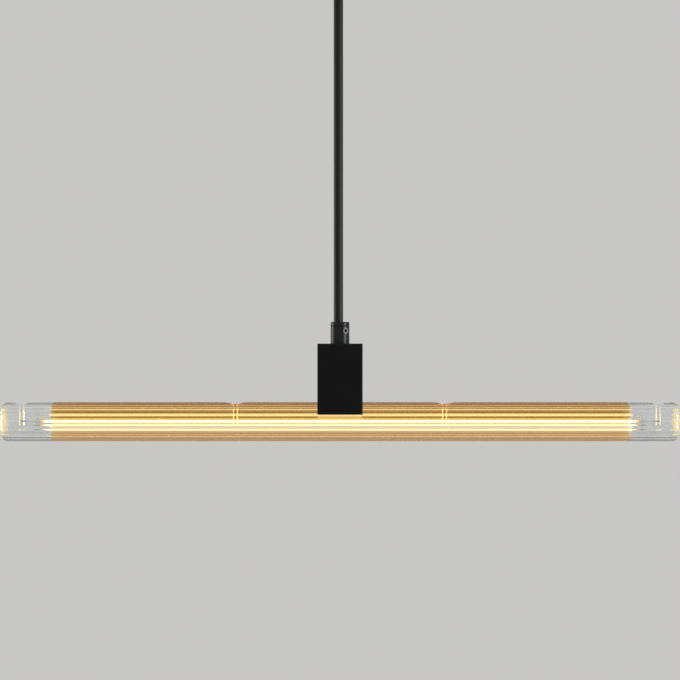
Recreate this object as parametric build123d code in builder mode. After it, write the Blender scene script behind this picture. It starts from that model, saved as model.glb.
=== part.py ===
from build123d import *
from math import cos, pi, radians, sin, sqrt
import os

# A pendant tube lamp: a clear ribbed glass tube with one long LED filament, plugged at its
# middle into a square metal lampholder that hangs from a ceiling rose on a taut round cable.
# The origin is the centre of the rose's face against the ceiling. X runs along the tube, the
# front of the lamp looks along -Y, and +Z is up. All sizes are in millimetres.

# Glass tube
tube_length = 500
tube_diameter = 29
rib_count = 20
rib_height = 0.7
glass_wall = 1.1
end_wall = 1.8
end_dome = 0.8
rim_radius = 4
rim_lead = 0.3
bore_corner = 3
dimple_depth = 1.3
dimple_length = 16
outer_post_inset = 15.3
post_pitch = 157.6
post_diameter = 3.7
post_root = 0.4
bead_width = 0.3
bead_height = 0.75
neck_diameter = 8
neck_height = 4
neck_bore = 5.4
neck_roof = 1.2

# LED filament and its wires
post_to_light = 14.4
filament_diameter = 2.6
filament_drop = 1.9
ferrule_length = 4.4
ferrule_wall = 0.3
ferrule_grip = 2.5
wire_diameter = 0.6
wire_fit = 0.05
ring_offset = 0.25
wire_bend = 1.2
feed_wire_diameter = 0.5
feed_wire_pitch = 3
feed_wire_height = 8.5
feed_wire_back = 4.5
feed_wire_run_in = 14

# Lamp cap
cement_gap = 0.15
seat_length = 24
seat_width = 22
seat_skirt = 5
seat_height = 5.5
seat_corner = 3
pedestal_length = 22
pedestal_width = 14
pedestal_height = 13.5
pedestal_corner = 2
cap_wall = 1.2
cap_roof = 1.5
contact_length = 9
contact_height = 8
contact_thickness = 0.8
contact_recess = 0.6
contact_middle = 7.5
contact_fit = 0.1
bow_overlap = 1
tab_length = 3
tab_reach = 2.4
board_length = 18.8
board_width = 9.6
board_thickness = 1
board_height = 6.5
ledge_depth = 1
ledge_height = 1.5
capacitor_diameter = 4.6
capacitor_length = 8
chip_length = 5
chip_width = 4
chip_height = 2
resistor_length = 2
resistor_width = 1.2
resistor_height = 0.6
resistor_pitch = 3.2
resistor_inset = 0.8

# Lampholder housing
housing_wall = 1.8
housing_corner = 1.4
housing_edge = 0.8
housing_lap = 8.8
tube_side_gap = 0.3
arch_gap = 0.7

# Lampholder insert
socket_gap = 0.8
shoulder_gap = 1
pocket_clearance = 0.5
socket_height = 20.5
socket_corner = 1.5
spring_width = 6
spring_thickness = 0.5
spring_clearance = 0.05
spring_channel = 2.4
channel_fit = 0.3
terminal_length = 7
terminal_width = 6
terminal_height = 6
terminal_screw_diameter = 3
terminal_screw_head = 4.4
terminal_screw_head_height = 1.4
terminal_screw_depth = 4
wiring_gap = 2.7
cover_wall = 1.6
cover_roof = 3
cover_boss_diameter = 5.6
cover_boss_inset = 4
cover_screw_diameter = 3
cover_screw_head = 5.4
cover_screw_depth = 8

# Threaded nipples, nut and washers
nipple_diameter = 10
nipple_bore = 7.6
nipple_fit = 0.05
nipple_grip_depth = 5
washer_diameter = 16
washer_thickness = 0.8
washer_hole = 10.4
nut_across_flats = 14
nut_height = 3
nipple_end = 1.5
nipple_chamfer = 0.4

# Cord grips
grip_diameter = 14
grip_length = 16
grip_bore = 10.6
grip_edge = 0.8
grip_screw_diameter = 5
grip_screw_fit = 0.05
grip_screw_place = 9.5
grip_screw_recess = 0.3
grip_screw_key = 2.5
grip_screw_key_depth = 2
grip_screw_turn = 43

# Supply cable
cable_diameter = 7
cable_free_length = 242.5
cable_clearance = 0.05
sheath_gap = 0.3
core_diameter = 2.3
core_pitch = 2.6
core_bend = 2.2
core_wall_gap = 0.8
core_drop = 1.2

# Ceiling rose
cup_diameter = 80
cup_height = 25
cup_wall = 1.2
cup_corner = 4
strap_width = 14
strap_thickness = 1.5
strap_length = 75
strap_drop = 13
strap_bend = 2
slot_spacing = 56
slot_width = 4.5
slot_length = 9
side_screw_diameter = 3
side_screw_head = 5.6
side_screw_head_height = 1.8
side_screw_length = 6
side_screw_drop = 9
screw_hole_fit = 0.1
block_length = 12
block_width = 16
block_height = 9
block_place = 14
block_pole_pitch = 8
block_bore = 3
block_bore_depth = 4
block_screw_diameter = 3
block_screw_head = 5
block_screw_head_height = 1.2
pole_screw_diameter = 2.6
pole_screw_height = 2

# Places that follow from the sizes above, along the tube
outer_post_place = tube_length / 2 - outer_post_inset
inner_post_place = outer_post_place - post_pitch
lit_length = 2 * (outer_post_place - post_to_light)

# Heights that follow from the sizes above, from the ceiling down
socket_stack = shoulder_gap + socket_height + spring_thickness + terminal_height
cover_stack = terminal_screw_head_height + wiring_gap + cover_roof + washer_thickness
housing_height = housing_lap + seat_height + socket_stack + cover_stack + housing_wall
rose_grip_end = -cup_height - grip_length
holder_grip_end = rose_grip_end - cable_free_length
housing_top = holder_grip_end - grip_length
housing_bottom = housing_top - housing_height
tube_radius = tube_diameter / 2
axis_height = housing_bottom + housing_lap - tube_radius
crest_height = axis_height + tube_radius
bore_radius = tube_radius - rib_height - glass_wall
filament_height = axis_height - filament_drop
filament_ring = filament_diameter / 2 + wire_fit + wire_diameter / 2
post_ring = post_diameter / 2 + wire_fit + wire_diameter / 2
filament_front = -post_ring - filament_ring - ring_offset
bead_top = filament_height - wire_diameter / 2 - wire_fit
bead_bottom = bead_top - bead_height
neck_top = crest_height + neck_height
shoulder_height = crest_height + seat_height
pedestal_top = shoulder_height + pedestal_height
board_bottom = shoulder_height + board_height - board_thickness
board_top = shoulder_height + board_height
housing_side = tube_diameter + 2 * (tube_side_gap + housing_wall)
housing_inside = housing_side - 2 * housing_wall
housing_ceiling = housing_top - housing_wall
socket_side = housing_inside - 2 * socket_gap
socket_bottom = shoulder_height + shoulder_gap
socket_top = socket_bottom + socket_height
cover_top = housing_ceiling - washer_thickness
cover_ceiling = cover_top - cover_roof

# The cable is pushed against the far side of its grip by the set screw.
screw_across = sin(radians(grip_screw_turn))
screw_forward = -cos(radians(grip_screw_turn))
cable_shift = (grip_bore - cable_diameter) / 2 - cable_clearance
cable_x = -cable_shift * screw_across
cable_y = -cable_shift * screw_forward
core_places = [
    (cable_x - side * core_pitch / 2 * screw_forward, cable_y + side * core_pitch / 2 * screw_across)
    for side in (1, -1)
]

lamp_front = Plane(origin=(0, 0, axis_height), x_dir=(1, 0, 0), z_dir=(0, -1, 0))
lamp_side = Plane(origin=(0, 0, axis_height), x_dir=(0, 1, 0), z_dir=(1, 0, 0))
lamp_axis = Axis((0, 0, axis_height), (1, 0, 0))
sides = {"left": -1, "right": 1}
faces_of_socket = {"front": -1, "back": 1}

os.makedirs("parts", exist_ok=True)


def closed_tube_outline(half_length, radius, corner, dome):
    """Half the section of a tube closed at both ends, above its axis, with slightly domed ends."""
    shoulder = radius - corner
    bulge = corner * (1 - cos(pi / 4))
    dome_radius = (shoulder**2 + dome**2) / (2 * dome)
    dome_fall = dome_radius - sqrt(dome_radius**2 - shoulder**2 / 4)
    Line((-half_length, 0), (half_length, 0))
    Line((dome + corner - half_length, radius), (half_length - dome - corner, radius))
    for end in (-1, 1):
        ThreePointArc(
            (end * half_length, 0),
            (end * (half_length - dome_fall), shoulder / 2),
            (end * (half_length - dome), shoulder),
        )
        ThreePointArc(
            (end * (half_length - dome), shoulder),
            (end * (half_length - dome - bulge), radius - bulge),
            (end * (half_length - dome - corner), radius),
        )


def on_ring(radius, angle):
    return (radius * cos(angle), radius * sin(angle))


# The glass tube: twenty lengthwise ribs, closed rounded ends, a smooth bore, four posts pressed
# in from the top and a short sealed neck that the feed wires leave by
with BuildPart() as glass_tube:
    with BuildSketch(lamp_side):
        with BuildLine():
            rib_pitch = 2 * pi / rib_count
            for rib in range(rib_count):
                crest = pi + rib * rib_pitch
                flank_radius = tube_radius - rib_height / 2
                ThreePointArc(
                    on_ring(flank_radius, crest - rib_pitch / 4),
                    on_ring(tube_radius, crest),
                    on_ring(flank_radius, crest + rib_pitch / 4),
                )
                ThreePointArc(
                    on_ring(flank_radius, crest + rib_pitch / 4),
                    on_ring(tube_radius - rib_height, crest + rib_pitch / 2),
                    on_ring(flank_radius, crest + rib_pitch * 3 / 4),
                )
        make_face()
    extrude(amount=tube_length / 2, both=True)
    with BuildSketch(lamp_front):
        with BuildLine():
            closed_tube_outline(tube_length / 2, tube_radius + rim_lead, rim_radius + rim_lead, end_dome)
        make_face()
    revolve(axis=lamp_axis, mode=Mode.INTERSECT)
    with BuildSketch(Plane.XY.offset(axis_height + bore_radius)):
        Circle(neck_diameter / 2)
    extrude(amount=neck_top - axis_height - bore_radius)
    fillet(edges().group_by(Axis.Z)[-1], neck_roof / 2)
    with BuildSketch(lamp_front):
        with BuildLine():
            closed_tube_outline(tube_length / 2 - end_wall, bore_radius, bore_corner, end_dome)
        make_face()
    revolve(axis=lamp_axis, mode=Mode.SUBTRACT)
    with BuildSketch(Plane.XY.offset(axis_height)):
        Circle(neck_bore / 2)
    extrude(amount=neck_top - neck_roof - axis_height, mode=Mode.SUBTRACT)
    with BuildSketch(Plane.XY.offset(neck_top)):
        with Locations((-feed_wire_pitch / 2, 0), (feed_wire_pitch / 2, 0)):
            Circle(feed_wire_diameter / 2 + wire_fit)
    extrude(amount=-2 * neck_roof, mode=Mode.SUBTRACT)
    dimple_radius = (dimple_length**2 / 4 + dimple_depth**2) / (2 * dimple_depth)
    for place in (-outer_post_place, -inner_post_place, inner_post_place, outer_post_place):
        with Locations((place, 0, crest_height - dimple_depth + dimple_radius)):
            Sphere(dimple_radius, mode=Mode.SUBTRACT)
        root_height = axis_height + bore_radius + post_root
        post_radius = post_diameter / 2
        with BuildSketch(Plane(origin=(place, 0, 0), x_dir=(1, 0, 0), z_dir=(0, -1, 0))):
            with BuildLine():
                Polyline(
                    (post_radius, bead_bottom),
                    (0, bead_bottom),
                    (0, root_height),
                    (post_radius, root_height),
                    (post_radius, bead_top),
                )
                ThreePointArc(
                    (post_radius, bead_top),
                    (post_radius + bead_width, bead_top - bead_height / 2),
                    (post_radius, bead_bottom),
                )
            make_face()
        revolve(axis=Axis((place, 0, 0), (0, 0, 1)))
glass_tube.part.label = "glass_tube"
export_step(glass_tube.part, "parts/glass_tube.step")

# The lit filament, gripped by a ferrule at each end
with BuildPart() as led_filament:
    with BuildSketch(Plane.YZ.offset(-lit_length / 2 - ferrule_grip)):
        with Locations((filament_front, filament_height)):
            Circle(filament_diameter / 2)
    extrude(amount=lit_length + 2 * ferrule_grip)
led_filament.part.label = "led_filament"
export_step(led_filament.part, "parts/led_filament.step")

ferrule_end = lit_length / 2 + ferrule_length
ferrule_top = filament_height + filament_diameter / 2 + wire_fit + ferrule_wall
for name, side in sides.items():
    end_plane = Plane(origin=(side * ferrule_end, filament_front, filament_height), z_dir=(-side, 0, 0))
    with BuildPart() as ferrule:
        with BuildSketch(end_plane):
            Circle(filament_diameter / 2 + wire_fit + ferrule_wall)
        extrude(amount=ferrule_length)
        with BuildSketch(end_plane.offset(ferrule_length)):
            Circle(filament_diameter / 2 + wire_fit)
        extrude(amount=-ferrule_grip - wire_fit, mode=Mode.SUBTRACT)
        with BuildSketch(end_plane):
            Circle(wire_diameter / 2 + wire_fit)
        extrude(amount=ferrule_length, mode=Mode.SUBTRACT)
    ferrule.part.label = f"filament_ferrule_{name}"
    export_step(ferrule.part, f"parts/filament_ferrule_{name}.step")

    # The end wire leaves the ferrule and rings the outer post above its bead.
    with BuildPart() as end_wire:
        with BuildLine() as end_route:
            FilletPolyline(
                (side * (ferrule_end - 2 * wire_diameter), filament_front, filament_height),
                (side * (ferrule_end + wire_bend), filament_front, filament_height),
                (side * outer_post_place, -post_ring, filament_height),
                radius=wire_bend,
            )
        with BuildSketch(Plane(origin=end_route.line @ 0, z_dir=end_route.line % 0)):
            Circle(wire_diameter / 2)
        sweep()
        with Locations((side * outer_post_place, 0, filament_height)):
            Torus(post_ring, wire_diameter / 2)
    end_wire.part.label = f"filament_end_wire_{name}"
    export_step(end_wire.part, f"parts/filament_end_wire_{name}.step")

    # The hook rings the inner post and holds the filament in a second ring in front of it.
    with BuildPart() as hook:
        with Locations((side * inner_post_place, 0, filament_height)):
            Torus(post_ring, wire_diameter / 2)
        with Locations((side * inner_post_place, filament_front, filament_height)):
            Torus(filament_ring, wire_diameter / 2, rotation=(0, 90, 0))
    hook.part.label = f"filament_hook_{name}"
    export_step(hook.part, f"parts/filament_hook_{name}.step")

    # The feed wire drops from the driver board through the neck, runs behind the posts along
    # the tube and comes down on the ferrule.
    with BuildPart() as feed_wire:
        drop_place = side * feed_wire_pitch / 2
        ferrule_middle = side * (lit_length / 2 + ferrule_length / 2)
        run_height = axis_height + feed_wire_height
        with BuildLine() as feed_route:
            FilletPolyline(
                (drop_place, 0, board_bottom),
                (drop_place, 0, run_height),
                (drop_place + side * feed_wire_run_in, feed_wire_back, run_height),
                (ferrule_middle - side * feed_wire_run_in, feed_wire_back, run_height),
                (ferrule_middle, filament_front, axis_height + feed_wire_back),
                (ferrule_middle, filament_front, ferrule_top + wire_fit),
                radius=wire_bend,
            )
        with BuildSketch(Plane(origin=feed_route.line @ 0, z_dir=feed_route.line % 0)):
            Circle(feed_wire_diameter / 2)
        sweep()
    feed_wire.part.label = f"feed_wire_{name}"
    export_step(feed_wire.part, f"parts/feed_wire_{name}.step")

# The lamp cap: a saddle cemented on the ribs, with a hollow pedestal that plugs into the holder
with BuildPart() as cap_base:
    with BuildSketch(Plane.XY.offset(crest_height - seat_skirt)):
        RectangleRounded(seat_length, seat_width, seat_corner)
    extrude(amount=seat_skirt + seat_height)
    fillet(edges().group_by(Axis.Z)[-1], pedestal_corner / 2)
    with BuildSketch(Plane.XY.offset(shoulder_height)):
        RectangleRounded(pedestal_length, pedestal_width, pedestal_corner)
    extrude(amount=pedestal_height)
    fillet(edges().group_by(Axis.Z)[-1], pedestal_corner / 2)
    with BuildSketch(lamp_side):
        Circle(tube_radius + cement_gap)
    extrude(amount=seat_length, both=True, mode=Mode.SUBTRACT)
    with BuildSketch(Plane.XY.offset(axis_height)):
        RectangleRounded(pedestal_length - 2 * cap_wall, pedestal_width - 2 * cap_wall, cap_wall)
    extrude(amount=pedestal_top - cap_roof - axis_height, mode=Mode.SUBTRACT)
    ledge_middle = pedestal_length / 2 - cap_wall - ledge_depth / 2
    with BuildSketch(Plane.XY.offset(board_bottom)):
        with Locations((-ledge_middle, 0), (ledge_middle, 0)):
            Rectangle(ledge_depth, pedestal_width - 2 * cap_wall)
    extrude(amount=-ledge_height)
    for side in (-1, 1):
        face = Plane(origin=(0, side * pedestal_width / 2, 0), x_dir=(1, 0, 0), z_dir=(0, side, 0))
        up = face.y_dir.Z
        with BuildSketch(face):
            with Locations((0, up * (shoulder_height + contact_middle))):
                Rectangle(contact_length + 2 * contact_fit, contact_height + 2 * contact_fit)
        extrude(amount=-contact_recess, mode=Mode.SUBTRACT)
        with BuildSketch(face):
            with Locations((0, up * (board_top + contact_thickness / 2))):
                Rectangle(tab_length + 2 * contact_fit, contact_thickness + 2 * contact_fit)
        extrude(amount=-2 * cap_wall, mode=Mode.SUBTRACT)
cap_base.part.label = "cap_base"
export_step(cap_base.part, "parts/cap_base.step")

for name, side in faces_of_socket.items():
    back = side * (pedestal_width / 2 - contact_recess)
    plate_plane = Plane(origin=(0, back, 0), x_dir=(1, 0, 0), z_dir=(0, side, 0))
    up = plate_plane.y_dir.Z
    with BuildPart() as cap_contact:
        with BuildSketch(plate_plane):
            with Locations((0, up * (shoulder_height + contact_middle))):
                Rectangle(contact_length, contact_height)
        extrude(amount=contact_thickness)
        with BuildSketch(plate_plane):
            with Locations((0, up * (board_top + contact_thickness / 2))):
                Rectangle(tab_length, contact_thickness)
        extrude(amount=-tab_reach)
    cap_contact.part.label = f"cap_contact_{name}"
    export_step(cap_contact.part, f"parts/cap_contact_{name}.step")

# The small driver that the cap holds
with BuildPart() as driver_board:
    with BuildSketch(Plane.XY.offset(board_bottom)):
        Rectangle(board_length, board_width)
    extrude(amount=board_thickness)
driver_board.part.label = "driver_board"
export_step(driver_board.part, "parts/driver_board.step")

with BuildPart() as driver_capacitor:
    with BuildSketch(Plane.YZ.offset(-board_length / 2 + cap_wall)):
        with Locations((0, board_top + capacitor_diameter / 2)):
            Circle(capacitor_diameter / 2)
    extrude(amount=capacitor_length)
    fillet(edges(), capacitor_diameter / 10)
driver_capacitor.part.label = "driver_capacitor"
export_step(driver_capacitor.part, "parts/driver_capacitor.step")

with BuildPart() as driver_chips:
    with BuildSketch(Plane.XY.offset(board_top)):
        with Locations((board_length / 4, 0)):
            Rectangle(chip_length, chip_width)
    extrude(amount=chip_height)
    resistor_place = board_length / 2 - resistor_inset - resistor_width / 2
    with BuildSketch(Plane.XY.offset(board_top)):
        with Locations((resistor_place, -resistor_pitch / 2), (resistor_place, resistor_pitch / 2)):
            Rectangle(resistor_width, resistor_length)
    extrude(amount=resistor_height)
driver_chips.part.label = "driver_chips"
export_step(driver_chips.part, "parts/driver_chips.step")

# The square housing, open below, with its front and back walls astride the tube
with BuildPart() as holder_housing:
    with BuildSketch(Plane.XY.offset(housing_bottom)):
        RectangleRounded(housing_side, housing_side, housing_corner)
    extrude(amount=housing_height)
    fillet(edges().group_by(Axis.Z)[-1], housing_edge)
    with BuildSketch(Plane.XY.offset(housing_bottom)):
        RectangleRounded(housing_inside, housing_inside, housing_corner / 2)
    extrude(amount=housing_height - housing_wall, mode=Mode.SUBTRACT)
    with BuildSketch(lamp_side):
        Circle(tube_radius + arch_gap)
    extrude(amount=housing_side, both=True, mode=Mode.SUBTRACT)
    with BuildSketch(Plane.XY.offset(housing_top)):
        Circle(nipple_diameter / 2 + screw_hole_fit)
    extrude(amount=-2 * housing_wall, mode=Mode.SUBTRACT)
holder_housing.part.label = "holder_housing"
export_step(holder_housing.part, "parts/holder_housing.step")

# The insulating insert that takes the cap's pedestal
boss_place = socket_side / 2 - cover_boss_inset
boss_places = [(boss_place, -boss_place), (-boss_place, boss_place)]
pocket_width = pedestal_width + 2 * pocket_clearance
with BuildPart() as socket_body:
    with BuildSketch(Plane.XY.offset(socket_bottom)):
        RectangleRounded(socket_side, socket_side, socket_corner)
    extrude(amount=socket_height)
    with BuildSketch(Plane.XY.offset(socket_bottom)):
        RectangleRounded(pedestal_length + 2 * pocket_clearance, pocket_width, pedestal_corner)
    extrude(amount=pedestal_top + pocket_clearance - socket_bottom, mode=Mode.SUBTRACT)
    with BuildSketch(Plane.XY.offset(socket_bottom)):
        for side in (-1, 1):
            with Locations((0, side * (pocket_width + spring_channel) / 2)):
                Rectangle(spring_width + 2 * channel_fit, spring_channel)
    extrude(amount=socket_height, mode=Mode.SUBTRACT)
    with BuildSketch(Plane.XY.offset(socket_top)):
        with Locations(*boss_places):
            Circle(cover_screw_diameter / 2 + wire_fit)
    extrude(amount=-cover_screw_depth - wire_fit, mode=Mode.SUBTRACT)
socket_body.part.label = "socket_body"
export_step(socket_body.part, "parts/socket_body.step")

# Bowed leaf springs press on the cap's contacts and carry the terminals on the insert's top.
contact_face = pedestal_width / 2 - contact_recess + contact_thickness
bow_inner = contact_face + spring_clearance + spring_thickness / 2
bow_outer = (pocket_width / 2 + spring_channel) - channel_fit - spring_thickness / 2
bow_middle = shoulder_height + contact_middle
bow_reach = contact_height / 2 + bow_overlap
leaf_top = socket_top + spring_thickness / 2
terminal_middle = bow_outer + spring_thickness / 2 - terminal_width / 2
terminal_bottom = socket_top + spring_thickness
for name, side in faces_of_socket.items():
    with BuildPart() as socket_spring:
        with BuildSketch(Plane.YZ):
            with BuildLine() as leaf:
                FilletPolyline(
                    (side * bow_outer, bow_middle - bow_reach),
                    (side * bow_inner, bow_middle),
                    (side * bow_outer, bow_middle + bow_reach),
                    (side * bow_outer, leaf_top),
                    (side * (bow_outer - terminal_width + spring_thickness), leaf_top),
                    radius=spring_thickness,
                )
            trace(leaf.line, line_width=spring_thickness)
        extrude(amount=spring_width / 2, both=True)
    socket_spring.part.label = f"socket_spring_{name}"
    export_step(socket_spring.part, f"parts/socket_spring_{name}.step")

    with BuildPart() as socket_terminal:
        with BuildSketch(Plane.XY.offset(terminal_bottom)):
            with Locations((0, side * terminal_middle)):
                Rectangle(terminal_length, terminal_width)
        extrude(amount=terminal_height)
        chamfer(edges().filter_by(Axis.Z), spring_thickness)
        with BuildSketch(Plane.XY.offset(terminal_bottom + terminal_height)):
            with Locations((0, side * terminal_middle)):
                Circle(terminal_screw_diameter / 2 + wire_fit)
        extrude(amount=-terminal_screw_depth - wire_fit, mode=Mode.SUBTRACT)
    socket_terminal.part.label = f"socket_terminal_{name}"
    export_step(socket_terminal.part, f"parts/socket_terminal_{name}.step")

with BuildPart() as socket_terminal_screws:
    for side in (-1, 1):
        with BuildSketch(Plane.XY.offset(terminal_bottom + terminal_height)):
            with Locations((0, side * terminal_middle)):
                Circle(terminal_screw_diameter / 2)
        extrude(amount=-terminal_screw_depth)
        with BuildSketch(Plane.XY.offset(terminal_bottom + terminal_height)):
            with Locations((0, side * terminal_middle)):
                Circle(terminal_screw_head / 2)
        extrude(amount=terminal_screw_head_height)
    with BuildSketch(Plane.XY.offset(terminal_bottom + terminal_height + terminal_screw_head_height)):
        with Locations((0, -terminal_middle), (0, terminal_middle)):
            Rectangle(terminal_screw_head, terminal_screw_head_height / 2)
    extrude(amount=-terminal_screw_head_height / 2, mode=Mode.SUBTRACT)
socket_terminal_screws.part.label = "socket_terminal_screws"
export_step(socket_terminal_screws.part, "parts/socket_terminal_screws.step")

# The cover over the terminals, tapped for the nipple and screwed to the insert
with BuildPart() as socket_cover:
    with BuildSketch(Plane.XY.offset(socket_top)):
        RectangleRounded(socket_side, socket_side, socket_corner)
    extrude(amount=cover_top - socket_top)
    with BuildSketch(Plane.XY.offset(socket_top)):
        RectangleRounded(socket_side - 2 * cover_wall, socket_side - 2 * cover_wall, cover_wall / 2)
    extrude(amount=cover_ceiling - socket_top, mode=Mode.SUBTRACT)
    with BuildSketch(Plane.XY.offset(socket_top)):
        with Locations(*boss_places):
            Circle(cover_boss_diameter / 2)
    extrude(amount=cover_top - socket_top)
    with BuildSketch(Plane.XY.offset(cover_top)):
        Circle(nipple_diameter / 2 + nipple_fit)
    extrude(amount=-2 * cover_roof, mode=Mode.SUBTRACT)
    with Locations(*[(x, y, cover_top) for x, y in boss_places]):
        CounterSinkHole(cover_screw_diameter / 2 + screw_hole_fit, cover_screw_head / 2 + wire_fit)
socket_cover.part.label = "socket_cover"
export_step(socket_cover.part, "parts/socket_cover.step")

with BuildPart() as socket_cover_screws:
    shank_radius = cover_screw_diameter / 2
    head_radius = cover_screw_head / 2
    for x, y in boss_places:
        with BuildSketch(Plane(origin=(x, y, cover_top), x_dir=(1, 0, 0), z_dir=(0, -1, 0))):
            with BuildLine():
                Polyline(
                    (0, -wire_fit),
                    (head_radius - wire_fit, -wire_fit),
                    (shank_radius, shank_radius - head_radius - wire_fit),
                    (shank_radius, socket_top - cover_top - cover_screw_depth),
                    (0, socket_top - cover_top - cover_screw_depth),
                    close=True,
                )
            make_face()
        revolve(axis=Axis((x, y, 0), (0, 0, 1)))
socket_cover_screws.part.label = "socket_cover_screws"
export_step(socket_cover_screws.part, "parts/socket_cover_screws.step")


def nipple(low, high):
    """A hollow threaded nipple between two heights."""
    with BuildPart() as tube:
        with BuildSketch(Plane.XY.offset(low)):
            Circle(nipple_diameter / 2)
            Circle(nipple_bore / 2, mode=Mode.SUBTRACT)
        extrude(amount=high - low)
        chamfer(edges().filter_by(GeomType.CIRCLE).group_by(SortBy.RADIUS)[-1], nipple_chamfer)
    return tube


def washer(low):
    """The flat lock washer under a nipple's nut or cover, from its lower face up."""
    with BuildPart() as ring:
        with BuildSketch(Plane.XY.offset(low)):
            Circle(washer_diameter / 2)
            Circle(washer_hole / 2, mode=Mode.SUBTRACT)
        extrude(amount=washer_thickness)
    return ring


def cord_grip(base, away):
    """A turned sleeve on the nipple's end that clamps the cable, standing away from its base."""
    screw_plane = Plane(
        origin=(0, 0, base + away * grip_screw_place), z_dir=(screw_across, screw_forward, 0)
    )
    with BuildPart() as sleeve:
        with BuildSketch(Plane.XY.offset(base)):
            Circle(grip_diameter / 2)
        extrude(amount=away * grip_length)
        ends = edges().filter_by(GeomType.CIRCLE).sort_by(Axis.Z)
        fillet(ends[-1] if away > 0 else ends[0], grip_edge)
        with BuildSketch(Plane.XY.offset(base)):
            Circle(nipple_diameter / 2 + nipple_fit)
        extrude(amount=away * nipple_grip_depth, mode=Mode.SUBTRACT)
        with BuildSketch(Plane.XY.offset(base + away * nipple_grip_depth)):
            Circle(grip_bore / 2)
        extrude(amount=away * (grip_length - nipple_grip_depth), mode=Mode.SUBTRACT)
        with BuildSketch(screw_plane):
            Circle(grip_screw_diameter / 2 + grip_screw_fit)
        extrude(amount=grip_diameter, mode=Mode.SUBTRACT)
    return sleeve


def grip_screw(height):
    """The set screw in a cord grip, its point on the cable and its hexagon key facing out."""
    point = cable_diameter / 2 - cable_shift + cable_clearance
    head = sqrt((grip_diameter / 2) ** 2 - (grip_screw_diameter / 2) ** 2) - grip_screw_recess
    axis = Vector(screw_across, screw_forward, 0)
    with BuildPart() as screw:
        with BuildSketch(Plane(origin=Vector(0, 0, height) + axis * point, z_dir=axis)):
            Circle(grip_screw_diameter / 2)
        extrude(amount=head - point)
        with BuildSketch(Plane(origin=Vector(0, 0, height) + axis * head, z_dir=axis)):
            RegularPolygon(grip_screw_key / 2, 6, major_radius=False)
        extrude(amount=-grip_screw_key_depth, mode=Mode.SUBTRACT)
    return screw


# The holder's nipple, washer, cord grip and set screw
holder_nipple = nipple(cover_ceiling, housing_top + nipple_grip_depth - wire_fit)
holder_nipple.part.label = "holder_nipple"
export_step(holder_nipple.part, "parts/holder_nipple.step")

holder_washer = washer(cover_top)
holder_washer.part.label = "holder_washer"
export_step(holder_washer.part, "parts/holder_washer.step")

holder_grip = cord_grip(housing_top, 1)
holder_grip.part.label = "holder_grip"
export_step(holder_grip.part, "parts/holder_grip.step")

holder_grip_screw = grip_screw(housing_top + grip_screw_place)
holder_grip_screw.part.label = "holder_grip_screw"
export_step(holder_grip_screw.part, "parts/holder_grip_screw.step")

# The taut cable, from inside the rose's grip to inside the holder's
sheath_top = -cup_height - nipple_grip_depth - sheath_gap
sheath_bottom = housing_top + nipple_grip_depth + sheath_gap
with BuildPart() as supply_cable:
    with BuildSketch(Plane.XY.offset(sheath_bottom)):
        with Locations((cable_x, cable_y)):
            Circle(cable_diameter / 2)
    extrude(amount=sheath_top - sheath_bottom)
supply_cable.part.label = "supply_cable"
export_step(supply_cable.part, "parts/supply_cable.step")


def core(route):
    """An insulated core of the cable, along its route."""
    with BuildPart() as wire:
        with BuildLine() as line:
            FilletPolyline(*route, radius=core_bend)
        with BuildSketch(Plane(origin=line.line @ 0, z_dir=line.line % 0)):
            Circle(core_diameter / 2)
        sweep()
    return wire


# Two cores go down to the insert's terminals and two up to the rose's terminal block.
core_height = terminal_bottom + terminal_height / 2
core_reach = socket_side / 2 - cover_wall - core_wall_gap - core_diameter / 2
pole_height = -strap_thickness - block_height / 2
pole_face = block_place - block_length / 2
for name, (x, y), side in zip(("line", "neutral"), core_places, (1, -1)):
    holder_core = core(
        [
            (x, y, sheath_bottom),
            (x, y, cover_ceiling - core_drop),
            (side * core_reach, side * (terminal_middle - core_bend), core_height + 2 * core_bend),
            (side * core_reach, side * terminal_middle, core_height),
            (side * (terminal_length / 2 + wire_fit), side * terminal_middle, core_height),
        ]
    )
    holder_core.part.label = f"holder_core_{name}"
    export_step(holder_core.part, f"parts/holder_core_{name}.step")

    rose_core = core(
        [
            (x, y, sheath_top),
            (x, y, pole_height - 3 * core_bend),
            (x / 2, side * block_pole_pitch / 2, pole_height),
            (pole_face + block_bore_depth - wire_fit, side * block_pole_pitch / 2, pole_height),
        ]
    )
    rose_core.part.label = f"rose_core_{name}"
    export_step(rose_core.part, f"parts/rose_core_{name}.step")

# The rose's grip, nipple, washer and nut
rose_grip = cord_grip(-cup_height, -1)
rose_grip.part.label = "rose_grip"
export_step(rose_grip.part, "parts/rose_grip.step")

rose_grip_screw = grip_screw(-cup_height - grip_screw_place)
rose_grip_screw.part.label = "rose_grip_screw"
export_step(rose_grip_screw.part, "parts/rose_grip_screw.step")

cup_floor = -cup_height + cup_wall
nut_bottom = cup_floor + washer_thickness
rose_nipple = nipple(wire_fit - cup_height - nipple_grip_depth, nut_bottom + nut_height + nipple_end)
rose_nipple.part.label = "rose_nipple"
export_step(rose_nipple.part, "parts/rose_nipple.step")

rose_washer = washer(cup_floor)
rose_washer.part.label = "rose_washer"
export_step(rose_washer.part, "parts/rose_washer.step")

with BuildPart() as rose_nut:
    with BuildSketch(Plane.XY.offset(nut_bottom)):
        RegularPolygon(nut_across_flats / 2, 6, major_radius=False)
        Circle(nipple_diameter / 2 + nipple_fit, mode=Mode.SUBTRACT)
    extrude(amount=nut_height)
rose_nut.part.label = "rose_nut"
export_step(rose_nut.part, "parts/rose_nut.step")

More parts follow.
